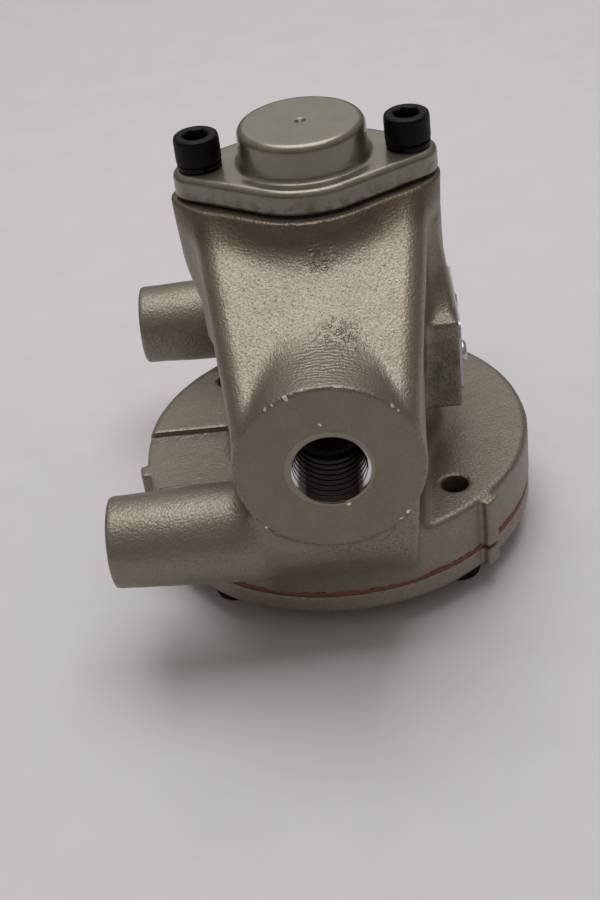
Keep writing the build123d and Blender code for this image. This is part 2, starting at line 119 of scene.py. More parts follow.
RECESS_Y = -4.8

# --- sizes of the bores ----------------------------------------------------------------------
SCREW_CIRCLE_R = 30.0
SCREW_HOLE_R = 2.4
CHAMBER_R = 12.5
PORT_BORE_R = MOUNTS["front_port"]["dims"]["r_mm"]
PORT_THREAD_LENGTH = 13.0
PORT_THREAD_R = 6.85
PORT_THREAD_PITCH = 25.4 / 18
PORT_MOUTH_R = 7.02
PILOT_THREAD_R = 4.8
PILOT_THREAD_PITCH = 25.4 / 27
SIDE_THREAD_R = 3.97
SIDE_THREAD_PITCH = 25.4 / 18


# =============================================================================================
# Solid shapes as distance fields
# =============================================================================================
def block(low, high, step):
    """Sample points of a block of space: x, y and z arrays that broadcast together."""
    axes = [np.arange(a - 2 * step, b + 2.5 * step, step, dtype=np.float32) for a, b in zip(low, high)]
    return np.meshgrid(*axes, indexing="ij", sparse=True)


def meet(a, b, edge=0.0):
    """Inside both shapes, with the edge that they share rounded."""
    u, v = a + edge, b + edge
    return np.minimum(np.maximum(u, v), 0) + np.hypot(np.maximum(u, 0), np.maximum(v, 0)) - edge


def join(a, b, fillet):
    """Either shape, with a cast fillet where they meet."""
    near = np.maximum(fillet - np.abs(a - b), 0) / fillet
    return np.minimum(a, b) - near * near * fillet / 4


def cut(a, b, edge=0.0):
    """The first shape less the second."""
    return meet(a, -b, edge)


def smooth(t):
    """Eased step from 0 to 1."""
    t = np.clip(t, 0, 1)
    return t * t * (3 - 2 * t)


def line(u, v, start, end):
    """How far a point lies to the left of the line from start to end, in the plane of u and v."""
    du, dv = end[0] - start[0], end[1] - start[1]
    return ((v - start[1]) * du - (u - start[0]) * dv) / np.hypot(du, dv)


def disc(p, radius, bottom, top, x=0.0, y=0.0):
    """Upright cylinder with sharp edges."""
    wall = np.hypot(p[0] - x, p[1] - y) - radius
    return np.maximum(wall, np.maximum(bottom - p[2], p[2] - top))


def rod(p, start, end, radius, end_radius=None):
    """Round or tapered bar between two points, with sharp ends."""
    start, end = Vector(start), Vector(end)
    axis = (end - start).normalized()
    length = (end - start).length
    offset = [p[i] - start[i] for i in range(3)]
    along = offset[0] * axis[0] + offset[1] * axis[1] + offset[2] * axis[2]
    square = offset[0] ** 2 + offset[1] ** 2 + offset[2] ** 2
    away = np.sqrt(np.maximum(square - along * along, 0))
    taper = ((end_radius or radius) - radius) / length
    wall = (away - radius - taper * along) / np.hypot(1, taper)
    return np.maximum(wall, np.maximum(-along, along - length))


def lobed(p, centre_r, end_r, shift=0.0):
    """Oval outline of the two-bolt cap: a round middle drawn in to two screw lobes."""
    across, along = np.abs(p[1]), np.abs(p[0] - shift)
    lean = (centre_r - end_r) / CAP_SCREW_X
    level = np.sqrt(1 - lean * lean)
    side = along * level - across * lean
    middle = np.hypot(across, along) - centre_r
    lobe = np.hypot(across, along - CAP_SCREW_X) - end_r
    flank = across * level + along * lean - centre_r
    return np.where(side < 0, middle, np.where(side > level * CAP_SCREW_X, lobe, flank))


def weave(count, samples):
    """Smooth interpolation weights from lattice values to samples."""
    place = np.linspace(1, count - 2.001, samples)
    cell = place.astype(int)
    t = place - cell
    weights = np.zeros((samples, count), np.float32)
    rows = np.arange(samples)
    weights[rows, cell - 1] = (1 - t) ** 3 / 6
    weights[rows, cell] = (3 * t ** 3 - 6 * t ** 2 + 4) / 6
    weights[rows, cell + 1] = (-3 * t ** 3 + 3 * t ** 2 + 3 * t + 1) / 6
    weights[rows, cell + 2 if count > 3 else cell] = t ** 3 / 6
    return weights


def ripple(p, size, seed):
    """Seeded random waves of about the given size, from about -1 to 1."""
    rng = np.random.default_rng(seed)
    samples = [axis.size for axis in p]
    counts = [int(np.ptp(axis) / size) + 5 for axis in p]
    values = rng.standard_normal(counts).astype(np.float32)
    for axis in range(3):
        values = np.moveaxis(np.tensordot(weave(counts[axis], samples[axis]), values, (1, axis)), 0, axis)
    return values * 1.6


def cast_skin(p, seed, swell=0.08, grain=0.022):
    """How far a sand-cast skin stands off its nominal surface."""
    return swell * ripple(p, 6.0, seed) + grain * ripple(p, 1.1, seed + 1)


def surface(name, p, field, most_faces=190_000):
    """Mesh object on the zero level of a distance field."""
    step = float(p[0].ravel()[1] - p[0].ravel()[0])
    grid = openvdb.FloatGrid(background=3 * step)
    grid.copyFromArray(np.clip(field, -3 * step, 3 * step).astype(np.float32))
    points, quads = grid.convertToQuads(0.0)
    low = np.array([axis.ravel()[0] for axis in p])
    mesh = bpy.data.meshes.new(name)
    mesh.from_pydata(((points * step + low) * MM).tolist(), [], quads[:, ::-1].tolist())
    mesh.validate()
    piece = bpy.data.objects.new(name, mesh)
    bpy.context.collection.objects.link(piece)
    if 2 * len(quads) > most_faces:
        thin_out(piece, most_faces / (2 * len(quads)))
    shade(piece, 40)
    return piece


def thin_out(piece, ratio):
    """Drops the given share of a mesh's faces, flat places first."""
    thin = piece.modifiers.new("thin", "DECIMATE")
    thin.ratio = ratio
    apply_modifiers(piece)


def apply_modifiers(piece):
    """Turns a piece's modifiers into plain mesh."""
    depsgraph = bpy.context.evaluated_depsgraph_get()
    mesh = bpy.data.meshes.new_from_object(piece.evaluated_get(depsgraph), depsgraph=depsgraph)
    piece.modifiers.clear()
    old, piece.data = piece.data, mesh
    bpy.data.meshes.remove(old)
    mesh.name = piece.name


def shade(piece, angle):
    """Smooth shading that breaks at edges sharper than the angle in degrees."""
    mesh = piece.data
    mesh.polygons.foreach_set("use_smooth", [True] * len(mesh.polygons))
    mesh.set_sharp_from_angle(angle=radians(angle))


# =============================================================================================
# Turned and helical pieces
# =============================================================================================
def grid_mesh(name, rows, closed_loop=True):
    """Mesh object from rings of points, each row joined to the next; the last joins the first."""
    count = len(rows[0])
    points = [point for row in rows for point in row]
    faces = []
    last = len(rows) if closed_loop else len(rows) - 1
    for i in range(last):
        j = (i + 1) % len(rows)
        for k in range(count):
            n = (k + 1) % count
            faces.append((i * count + k, i * count + n, j * count + n, j * count + k))
    mesh = bpy.data.meshes.new(name)
    mesh.from_pydata([tuple(c * MM for c in point) for point in points], [], faces)
    mesh.validate()
    piece = bpy.data.objects.new(name, mesh)
    bpy.context.collection.objects.link(piece)
    return piece


def merged(name, pieces):
    """Joins several mesh objects into one."""
    whole = bmesh.new()
    for piece in pieces:
        whole.from_mesh(piece.data)
        bpy.data.objects.remove(piece)
    mesh = bpy.data.meshes.new(name)
    whole.to_mesh(mesh)
    whole.free()
    result = bpy.data.objects.new(name, mesh)
    bpy.context.collection.objects.link(result)
    return result


def placed(piece, matrix):
    """Moves a mesh's points; the object itself stays at the origin."""
    scaled = matrix.copy()
    scaled.translation = matrix.translation * MM
    piece.data.transform(scaled)
    return piece


def thread_liner(name, major_r, pitch, length, mouth_r, outer_r, taper=0.0):
    """Sleeve with an internal thread along +Z from a chamfered mouth at zero."""
    depth = 0.5 * pitch
    steps, turns = 112, int(length / 0.11)
    rows = []
    for i in range(turns + 1):
        s = 0.03 + (length - 0.03) * i / turns
        fade = float(smooth((s + 0.1) / 0.3) * smooth((length - s) / 1.5))
        base = major_r - taper * s
        mouth = base + max(0.0, mouth_r - base) * max(0.0, 1 - s / 0.2)
        row = []
        for k in range(steps):
            angle = tau * k / steps
            phase = (s / pitch - k / steps) % 1.0
            ridge = float(np.clip(1.25 - abs(phase - 0.5) * 2.7, 0, 1))
            r = mouth - depth * ridge * fade
            row.append((r * cos(angle), r * sin(angle), s))
        rows.append(row)
    angles = [tau * k / steps for k in range(steps)]
    for s in (length, 0.03):
        rows.append([(outer_r * cos(a), outer_r * sin(a), s) for a in angles])
    piece = grid_mesh(name, [row[::-1] for row in rows])
    shade(piece, 60)
    return piece


def socket_head(name, x, y, bottom, turn, up=True):
    """Knurled socket head cap screw head and shank end; bottom is the underside of the head."""
    head_r, head_h, shank_r, shank = 3.96, 4.8, 2.3, 12.0
    flats, socket_depth, steps = 4.0, 2.5, 144
    profile = [
        (shank_r, -shank), (shank_r, -0.02), (head_r - 0.25, 0.0), (head_r - 0.02, 0.25), (head_r, 0.55),
        (head_r, head_h - 0.95), (head_r - 0.03, head_h - 0.62), (head_r - 0.16, head_h - 0.22),
        (head_r - 0.42, head_h - 0.03), (head_r - 0.8, head_h)]
    rows = [[(0.01 * cos(tau * k / steps), 0.01 * sin(tau * k / steps), -shank) for k in range(steps)]]
    for r, z in profile:
        knurl = 0.07 if 0.5 < z < head_h - 0.9 and r > shank_r else 0.0
        row = []
        for k in range(steps):
            rib = r - knurl * (k % 3 == 0)
            row.append((rib * cos(tau * k / steps), rib * sin(tau * k / steps), z))
        rows.append(row)
    socket = ((0.42, 0.02), (0.14, 0.16), (0.0, 0.4), (0.0, socket_depth))
    for grow, z in [(grow, head_h - down) for grow, down in socket]:
        row = []
        for k in range(steps):
            angle = tau * k / steps
            hexagon = flats / 2 / cos((angle % (pi / 3)) - pi / 6)
            round_r = flats / 2 / cos(pi / 6) + 0.05
            r = hexagon + grow * (round_r - hexagon) / 0.42 + grow * 0.3
            row.append((r * cos(angle), r * sin(angle), z))
        rows.append(row)
    tip = head_h - socket_depth - 0.7
    rows.append([(0.01 * cos(tau * k / steps), 0.01 * sin(tau * k / steps), tip) for k in range(steps)])
    piece = grid_mesh(name, rows, closed_loop=True)
    shade(piece, 35)
    flip = Matrix.Identity(4) if up else Matrix.Rotation(pi, 4, "X")
    return placed(piece, Matrix.Translation((x, y, bottom)) @ flip @ Matrix.Rotation(radians(turn), 4, "Z"))


def lock_washer(name, x, turn):
    """Split spring washer whose two ends stand slightly apart."""
    inner, outer, thick, gap, steps = 2.5, 3.88, 0.95, 0.09, 96
    low = WASHER_LOW.z
    rise = WASHER_HIGH.z - low - thick
    corner = 0.12
    rows = []
    for k in range(steps + 1):
        t = gap + (tau - 2 * gap) * k / steps
        lift = low + rise * k / steps
        section = [
            (inner + corner, lift), (outer - corner, lift), (outer, lift + corner),
            (outer, lift + thick - corner), (outer - corner, lift + thick), (inner + corner, lift + thick),
            (inner, lift + thick - corner), (inner, lift + corner)]
        rows.append([(r * cos(t), r * sin(t), z) for r, z in section])
    piece = grid_mesh(name, rows, closed_loop=False)
    mesh = piece.data
    edit = bmesh.new()
    edit.from_mesh(mesh)
    edit.verts.ensure_lookup_table()
    count = len(rows[0])
    edit.faces.new([edit.verts[k] for k in range(count)])
    edit.faces.new([edit.verts[len(rows) * count - 1 - k] for k in range(count)])
    bmesh.ops.recalc_face_normals(edit, faces=edit.faces)
    edit.to_mesh(mesh)
    edit.free()
    shade(piece, 35)
    return placed(piece, Matrix.Translation((x, 0, 0)) @ Matrix.Rotation(radians(turn), 4, "Z"))


# =============================================================================================
# Materials
# =============================================================================================
class Finish:
    """A Principled material whose colour, roughness and bump come from procedural nodes."""

    def __init__(self, name, colour, roughness, metallic=0.0, **sockets):
        self.material = bpy.data.materials.new(name)
        self.material.use_nodes = True
        self.nodes = self.material.node_tree.nodes
        self.links = self.material.node_tree.links
        self.shader = self.nodes["Principled BSDF"]
        self.shader.inputs["Base Color"].default_value = (*colour, 1)
        self.shader.inputs["Roughness"].default_value = roughness
        self.shader.inputs["Metallic"].default_value = metallic
        for socket, value in sockets.items():
            self.shader.inputs[socket.replace("_", " ")].default_value = value
        self.material.diffuse_color = (*colour, 1)
        self.place = self.nodes.new("ShaderNodeTexCoord").outputs["Object"]
        self.last_bump = None

    def math(self, operation, a, b=None, c=None):
        node = self.nodes.new("ShaderNodeMath")
        node.operation = operation
        for i, value in enumerate((a, b, c)):
            if value is None:
                continue
            if isinstance(value, (int, float)):
                node.inputs[i].default_value = value
            else:
                self.links.new(value, node.inputs[i])
        return node.outputs[0]

    def split(self):
        node = self.nodes.new("ShaderNodeSeparateXYZ")
        self.links.new(self.place, node.inputs[0])
        return node.outputs

    def stretched(self, x=1.0, y=1.0, z=1.0):
        """The object's coordinates, scaled along each axis."""
        node = self.nodes.new("ShaderNodeMapping")
        node.inputs["Scale"].default_value = (x, y, z)
        self.links.new(self.place, node.inputs["Vector"])
        return node.outputs["Vector"]

    def noise(self, size, detail=3.0, rough=0.55, vector=None, distortion=0.0):
        """Cloudy noise with features of about the given size in millimetres."""
        node = self.nodes.new("ShaderNodeTexNoise")
        node.inputs["Scale"].default_value = 1 / (size * MM)
        node.inputs["Detail"].default_value = detail
        node.inputs["Roughness"].default_value = rough
        node.inputs["Distortion"].default_value = distortion
        self.links.new(vector or self.place, node.inputs["Vector"])
        return node.outputs["Fac"]

    def grains(self, size, feature="F1", vector=None):
        """Cell noise with cells of about the given size in millimetres."""
        node = self.nodes.new("ShaderNodeTexVoronoi")
        node.feature = feature
        node.inputs["Scale"].default_value = 1 / (size * MM)
        self.links.new(vector or self.place, node.inputs["Vector"])
        return node.outputs

    def ramp(self, value, *stops):
        """Colour or grey ramp; each stop is a position and a grey or a colour."""
        node = self.nodes.new("ShaderNodeValToRGB")
        elements = node.color_ramp.elements
        while len(elements) < len(stops):
            elements.new(0.5)
        for element, (position, colour) in zip(elements, stops):
            element.position = position
            colour = (colour, colour, colour) if isinstance(colour, (int, float)) else colour
            element.color = (*colour, 1)
        self.links.new(value, node.inputs["Fac"])
        return node.outputs["Color"]

    def span(self, value, low, high, from_low=0.3, from_high=0.7):
        """Maps a noise onto a range of values."""
        node = self.nodes.new("ShaderNodeMapRange")
        node.inputs["From Min"].default_value = from_low
        node.inputs["From Max"].default_value = from_high
        node.inputs["To Min"].default_value = low
        node.inputs["To Max"].default_value = high
        self.links.new(value, node.inputs["Value"])
        return node.outputs["Result"]

    def near(self, centre, inner, outer):
        """1 within the inner distance of a point in millimetres, 0 beyond the outer distance."""
        node = self.nodes.new("ShaderNodeVectorMath")
        node.operation = "DISTANCE"
        self.links.new(self.place, node.inputs[0])
        node.inputs[1].default_value = [c * MM for c in centre]
        return self.span(node.outputs["Value"], 1.0, 0.0, inner * MM, outer * MM)

    def port_radius(self):
        """Distance from the axis of the line ports."""
        x, _, z = self.split()
        rise = self.math("SUBTRACT", z, PORT_AXIS_Z * MM)
        squares = [self.math("MULTIPLY", x, x), self.math("MULTIPLY", rise, rise)]
        return self.math("SQRT", self.math("ADD", *squares))

    def mix(self, factor, a, b):
        """Mixes two colours."""
        node = self.nodes.new("ShaderNodeMix")
        node.data_type = "RGBA"
        for socket, value in (("Factor", factor), ("A", a), ("B", b)):
            kind = "VALUE" if socket == "Factor" else "RGBA"
            target = [s for s in node.inputs if s.name == socket and s.type == kind][0]
            if isinstance(value, tuple):
                target.default_value = (*value, 1)
            elif isinstance(value, (int, float)):
                target.default_value = value
            else:
                self.links.new(value, target)
        return [s for s in node.outputs if s.type == "RGBA"][0]

    def colour(self, output):
        self.links.new(output, self.shader.inputs["Base Color"])

    def roughness(self, output):
        self.links.new(output, self.shader.inputs["Roughness"])

    def bump(self, height, depth, strength=1.0):
        """Adds relief of the given depth in millimetres."""
        node = self.nodes.new("ShaderNodeBump")
        node.inputs["Distance"].default_value = depth * MM
        node.inputs["Strength"].default_value = strength
        self.links.new(height, node.inputs["Height"])
        if self.last_bump:
            self.links.new(self.last_bump, node.inputs["Normal"])
        self.last_bump = node.outputs["Normal"]
        self.links.new(self.last_bump, self.shader.inputs["Normal"])


PAINT = (0.288, 0.256, 0.202)
PAINT_DARK = (0.180, 0.157, 0.120)
PAINT_LIGHT = (0.325, 0.292, 0.236)
PAINT_FACE = (0.262, 0.231, 0.178)
# Dark pores, and painted shade in the collar nick and round the port face rim.
PAINT_PIT_AND_SHADE = (0.075, 0.064, 0.050)
# Painted shade under the cap plate, in a brown tone.
COLLAR_SHADE = (0.135, 0.102, 0.066)
# Dirt on the cap plate, and painted shade on the front of the nameplate pad.
DIRT_AND_SHADE = (0.105, 0.100, 0.070)
BARE = (0.85, 0.83, 0.80)


def cast_paint(name, blemished_and_shaded=False):
    """Champagne metallic paint over a sand-cast skin."""
    f = Finish(name, PAINT, 0.42, 0.75)
    cloud = f.noise(7.0, 4.0)
    sand = f.noise(0.40, 2.0, 0.6)
    pores = f.span(f.noise(0.45, 1.0), 0.0, 1.0, 0.63, 0.75)
    colour = f.mix(f.span(sand, 0.0, 0.45), f.ramp(cloud, (0.3, PAINT), (0.75, PAINT_LIGHT)), PAINT_DARK)
    colour = f.mix(f.math("MULTIPLY", pores, 0.3), colour, PAINT_PIT_AND_SHADE)
    # Adds painted shade on the collar, in its nick and on the pad front, then chips of bare metal.
    if blemished_and_shaded:
        colour = nicked(f, painted_shade_marks(f, colour))
    f.colour(colour)
    f.roughness(f.span(sand, 0.36, 0.5))
    f.bump(f.grains(0.5)["Distance"], 0.045)
    f.bump(sand, 0.085)
    f.bump(pores, -0.03)
    if blemished_and_shaded:
        add_blemishes(f)
    return f.material


NICKS = (
    ((-5.8, -45, 57.4), 0.9), ((-7.9, -45, 56.5), 0.7), ((-9.0, -45, 55.8), 0.6), ((10.9, -45, 54.3), 0.7),
    ((11.9, -45, 53.2), 0.5), ((10.8, -45, 31.7), 0.8), ((12.0, -45, 33.0), 0.7), ((-11.6, -45, 32.4), 0.4),
    ((-0.9, -45, 51.9), 0.6), ((2.4, -45, 35.9), 0.6))


def painted_shade_marks(f, colour):
    """Painted shade: a brown-toned dark band round the collar under the cap plate, dark inside the nick in
    it, and a darker patch on the front face of the nameplate pad.
    """
    x, y, z = f.split()
    cloud = f.noise(2.5, 3.0)
    # Painted shade: darkens the collar band under the cap plate, in a brown tone.
    collar = f.math("MULTIPLY", f.span(z, 0.0, 0.75, 66.8 * MM, 69.0 * MM), f.span(cloud, 0.7, 1.0))
    colour = f.mix(collar, colour, COLLAR_SHADE)
    # Painted shade: darkens the inside of the nick in the collar.
    colour = f.mix(f.near((-14.9, -9.0, 67.9), 0.6, 1.5), colour, PAINT_PIT_AND_SHADE)
    # Painted shade: darkens the front face of the nameplate pad, which faces away from the light.
    dirt_and_shade = f.math("MULTIPLY", f.near((21.5, -12.5, 38.5), 4.0, 10.0), f.span(cloud, 0.2, 0.9))
    return f.mix(dirt_and_shade, colour, DIRT_AND_SHADE)


def nicked(f, colour):
    """Shows bare metal in small chips on the front port face."""
    chips = None
    for place, size in NICKS:
        spot = f.near(place, 0.1, size)
        chips = spot if chips is None else f.math("MAXIMUM", chips, spot)
    ragged = f.span(f.noise(0.9, 1.0, 0.3), 0.0, 1.0, 0.35, 0.60)
    chips = f.span(f.math("MULTIPLY", chips, ragged), 0.0, 1.0, 0.30, 0.42)
    f.bump(chips, 0.03)
    return f.mix(chips, colour, BARE)


def add_blemishes(f):
    """Pitted patches on the front slope, and fine ripples where it runs into the port boss."""
    coarse = f.noise(0.95, 2.0, 0.5)
    pits = f.span(coarse, 0.0, 1.0, 0.50, 0.62)
    below_collar = f.near((1.4, -17.2, 66.4), 1.0, 3.6)
    above_port = f.math("MULTIPLY", f.near((3.5, -31.5, 59.0), 1.0, 5.5), 0.6)
    below_port = f.math("MULTIPLY", f.near((5.0, -44.5, 26.0), 4.0, 13.0), 0.45)
    patch = f.math("MAXIMUM", below_collar, f.math("MAXIMUM", above_port, below_port))
    f.bump(f.math("MULTIPLY", patch, pits), -0.32)
    crown = f.near((0.5, -37.5, 57.5), 3.0, 8.5)
    x, y, z = f.split()
    waver = f.math("MULTIPLY", f.noise(3.0, 2.0), 2.2 * MM)
    waves = f.math("SINE", f.math("MULTIPLY", f.math("ADD", y, waver), tau / (0.85 * MM)))
    f.bump(f.math("MULTIPLY", crown, waves), 0.028)


def machined_paint():
    """The same paint over machined faces: fine even grain, a painted shadow round the rim, sandy at the bore.
    """
    f = Finish("machined_paint", PAINT, 0.5, 0.72)
    speck = f.noise(0.22, 2.0)
    cloud = f.noise(5.0, 3.0)
    radius = f.port_radius()
    colour = f.mix(f.span(speck, 0.0, 0.3), f.ramp(cloud, (0.35, PAINT_FACE), (0.7, PAINT)), PAINT_DARK)
    # Painted shadow: a broken dark line round the rim of the port face.
    rim = f.span(radius, 0.0, 1.0, (PORT_BOSS_R - 0.55) * MM, (PORT_BOSS_R - 0.1) * MM)
    broken = f.span(f.noise(1.6, 3.0), 0.0, 1.0, 0.42, 0.55)
    colour = f.mix(f.math("MULTIPLY", rim, broken), colour, PAINT_PIT_AND_SHADE)
    sand = f.noise(0.5, 2.0)
    halo = f.math("MULTIPLY", f.span(radius, 1.0, 0.0, 7.2 * MM, 9.2 * MM), f.span(sand, 0.0, 1.0, 0.45, 0.6))
    colour = f.mix(f.math("MULTIPLY", halo, 0.6), colour, PAINT_LIGHT)
    f.colour(nicked(f, colour))
    f.roughness(f.span(speck, 0.42, 0.55))
    f.bump(speck, 0.012)
    f.bump(halo, 0.07)
    return f.material


def smooth_paint():
    """The same paint over the smooth skin of the end cap, with dirt on the edge of its plate."""
    f = Finish("smooth_paint", PAINT, 0.3, 0.72, Coat_Weight=0.5, Coat_Roughness=0.08)
    cloud = f.noise(4.0, 3.0)
    fine = f.noise(0.5, 2.0)
    x, y, z = f.split()
    colour = f.ramp(cloud, (0.3, (0.235, 0.220, 0.165)), (0.7, (0.275, 0.258, 0.200)))
    low = f.span(z, 0.75, 0.0, 74.0 * MM, 76.5 * MM)
    dirt_and_shade = f.math("MULTIPLY", low, f.span(f.noise(1.8, 4.0), 0.0, 1.0, 0.46, 0.62))
    colour = f.mix(dirt_and_shade, colour, DIRT_AND_SHADE)
    f.colour(f.mix(f.near((0, 0, CAP_HIGH.z - 0.4), 0.5, 1.1), colour, (0.07, 0.085, 0.05)))
    f.roughness(f.span(cloud, 0.27, 0.40))
    f.bump(cloud, 0.05)
    f.bump(fine, 0.010)
    return f.material


def port_metal():
    """Cut threads of the line ports: painted at the mouth, with painted highlights on the sides and painted
    shade at the top, bottom and deeper in.
    """
    f = Finish("port_thread_metal", (0.66, 0.64, 0.63), 0.14, 1.0)
    x, y, z = f.split()
    marks = f.noise(0.5, 3.0)
    # Painted highlights on the left and right flanks, painted shade at the top and bottom and deeper in.
    side = f.span(f.math("ABSOLUTE", x), 0.0, 1.0, 4.2 * MM, 5.4 * MM)
    shallow = f.span(f.math("ABSOLUTE", y), 0.15, 1.0, 35.0 * MM, 43.0 * MM)
    colour = f.mix(f.math("MULTIPLY", side, shallow), (0.055, 0.045, 0.045), (0.80, 0.79, 0.78))
    mouth = f.span(f.math("ABSOLUTE", y), 0.0, 1.0, (PORT_FACE_Y - 0.28) * MM, (PORT_FACE_Y - 0.12) * MM)
    f.colour(f.mix(mouth, colour, PAINT_FACE))
    f.roughness(f.span(marks, 0.10, 0.2))
    f.bump(marks, 0.006)
    return f.material


def metal(name, colour, roughness, size=0.5, stretch=(1, 1, 1), depth=0.006, metallic=1.0, **sockets):
    """Bare or plated metal with fine tool marks."""
    f = Finish(name, colour, roughness, metallic, **sockets)
    marks = f.noise(size, 3.0, 0.6, f.stretched(*stretch))
    stain = f.noise(4.0, 3.0)
    dark = tuple(c * 0.72 for c in colour)
    f.colour(f.mix(f.span(stain, 0.0, 0.6), colour, dark))
    f.roughness(f.span(marks, roughness * 0.75, roughness * 1.3))
    f.bump(marks, depth)
    return f.material


def rubber(name, colour, depth=0.02, size=0.35):
    """Matt moulded rubber or sheet."""
    f = Finish(name, colour, 0.75)
    grain = f.noise(size, 3.0)
    cloud = f.noise(3.0, 3.0)
    light = tuple(c * 1.5 + 0.01 for c in colour)
    f.colour(f.mix(f.span(cloud, 0.0, 0.5), colour, light))
    f.roughness(f.span(grain, 0.6, 0.85))
    f.bump(grain, depth)
    return f.material


def floor_finish():
    """Pale matt surface."""
    f = Finish("floor", (0.82, 0.81, 0.85), 0.6)
    cloud = f.noise(14.0, 4.0)
    speck = f.noise(1.0, 3.0)
    f.colour(f.ramp(cloud, (0.3, (0.760, 0.745, 0.770)), (0.7, (0.790, 0.775, 0.800))))
    f.roughness(f.span(speck, 0.5, 0.7))
    f.bump(speck, 0.03)
    return f.material


# =============================================================================================
# Body casting
# =============================================================================================
def cast_tower(p):
    """Round valve chamber that narrows to a short collar, with a screw lobe on each side."""
    x, y, z = p
    lobe_end = LOBE_R - LOBE_DRAFT * (BODY_TOP - z)
    down = np.clip((TOWER_NECK - z) / (TOWER_NECK - FLANGE_TOP), 0, 1)
    chamber_r = TOWER_R - (TOWER_R - TOWER_FOOT_R) * down
    narrow = smooth((z - TOWER_NECK) / (COLLAR_BOTTOM - TOWER_NECK))
    tower = (np.hypot(x, y) - chamber_r + (TOWER_R - TOWER_TOP_R) * narrow) * 0.93
    grow = smooth((z - TOWER_NECK) / (LOBE_BOTTOM - TOWER_NECK))
    root_r = TOWER_R - CAP_SCREW_X
    lobe_r = root_r + (lobe_end - root_r) * grow
    lobes = lobed(p, TOWER_TOP_R - 3 + 3 * grow, lobe_r, LOBE_SHIFT) * 0.94
    return join(tower, np.maximum(lobes, TOWER_NECK - 3 - z), 2.0)


def cast_ports(p):
    """Both line port bosses with the webs and shoulders that carry them."""
    x, y, z = p
    across, out = np.abs(x), np.abs(y)
    taper = (PORT_ROOT_R - PORT_BOSS_R) / PORT_FACE_Y
    boss = np.hypot(x, z - PORT_AXIS_Z) - PORT_BOSS_R - taper * (PORT_FACE_Y - out)
    lean = (WEB_TOP_HALF_WIDTH - WEB_FOOT_HALF_WIDTH) / (SHOULDER_FACE_Z - WEB_FOOT_TOP)
    half_width = WEB_FOOT_HALF_WIDTH + lean * (z - WEB_FOOT_TOP) + WEB_SPREAD * (1 - out / WEB_FRONT)
    side = across - half_width
    top = line(out, z, SHOULDER_ROOT, (WEB_FRONT, SHOULDER_FACE_Z))
    foot = line(out, z, (WEB_FRONT, WEB_FOOT_TOP), WEB_FOOT)
    web = meet(meet(side, top, 4.0), meet(out - WEB_FRONT, foot, 2.0), 0.8)
    crown = smooth(1.4 - across / 9) * smooth((z - PORT_AXIS_Z) / 9)
    return join(boss, web, 1.0 + 1.6 * crown)


def cast_side_bosses(p):
    """Both mounting bosses along -X."""
    x, y, z = p
    slope = (SIDE_BOSS_ROOT_R - SIDE_BOSS_R) / (SIDE_BOSS_ROOT_X - SIDE_BOSS_FACE_X)
    wall = np.hypot(np.abs(y) - SIDE_BOSS_Y, z - SIDE_BOSS_Z) - SIDE_BOSS_R - slope * (x - SIDE_BOSS_FACE_X)
    return meet(meet(wall, SIDE_BOSS_FACE_X - x, 0.9), x - SIDE_BOSS_ROOT_X, 3.0)


def cast_pad(p):
    """Nameplate pad, whose top sweeps up in a cove to the tower."""
    x, y, z = p
    out = np.abs(y)
    edge = meet(x - PAD_FACE_X, out - PAD_HALF_Y, 0.6)
    pad = meet(edge, meet(z - PAD_TOP, PAD_BOTTOM - z), 0.5)
    inward = np.clip(PAD_HALF_Y - out, 0, COVE_DEPTH)
    below = COVE_TOP - z
    hollow = (1 - np.hypot(inward / COVE_DEPTH, below / (COVE_TOP - PAD_TOP))) * COVE_DEPTH
    lean = (PAD_FACE_X - COVE_TOP_X) / (COVE_TOP - PAD_TOP)
    cove = meet(meet(edge, x - COVE_TOP_X - lean * below, 0.5), hollow, 1.5)
    cove = np.maximum(cove, np.maximum(-below, PAD_TOP - 3 - z))
    return np.maximum(join(pad, cove, 1.0), -x)


def rim_lugs(p, bottom, top):
    """Two small lugs on the rim, which line the cover up with the body."""
    lugs = []
    for angle in (-44, 190):
        a = radians(angle)
        out = p[0] * cos(a) + p[1] * sin(a)
        across = -p[0] * sin(a) + p[1] * cos(a)
        lug = meet(meet(out - 38.4, np.abs(across) - 1.6, 0.5), meet(p[2] - top, bottom - p[2]), 0.3)
        lugs.append(np.maximum(lug, 34 - out))
    return np.minimum(*lugs)


def cast_body(p):
    """Whole casting before machining."""
    x, y, z = p
    flange = meet(np.hypot(x, y) - FLANGE_R + 0.12, z - FLANGE_TOP, FLANGE_EDGE)
    flange = join(flange, rim_lugs(p, JOINT_TOP - 1, FLANGE_TOP - 0.6), 0.6)
    recess = np.maximum(np.maximum(x, np.abs(y - RECESS_Y) - RECESS_HALF_Y), RECESS_FLOOR - z)
    flange = cut(flange, recess, 0.3)
    upper = smooth((z - PORT_AXIS_Z - 2) / 12)
    shape = join(cast_tower(p), cast_ports(p), 1.5 + 3.0 * upper)
    shape = join(shape, cast_side_bosses(p), 4.0)
    shape = join(flange, shape, 3.0)
    return join(shape, cast_pad(p), 2.0)


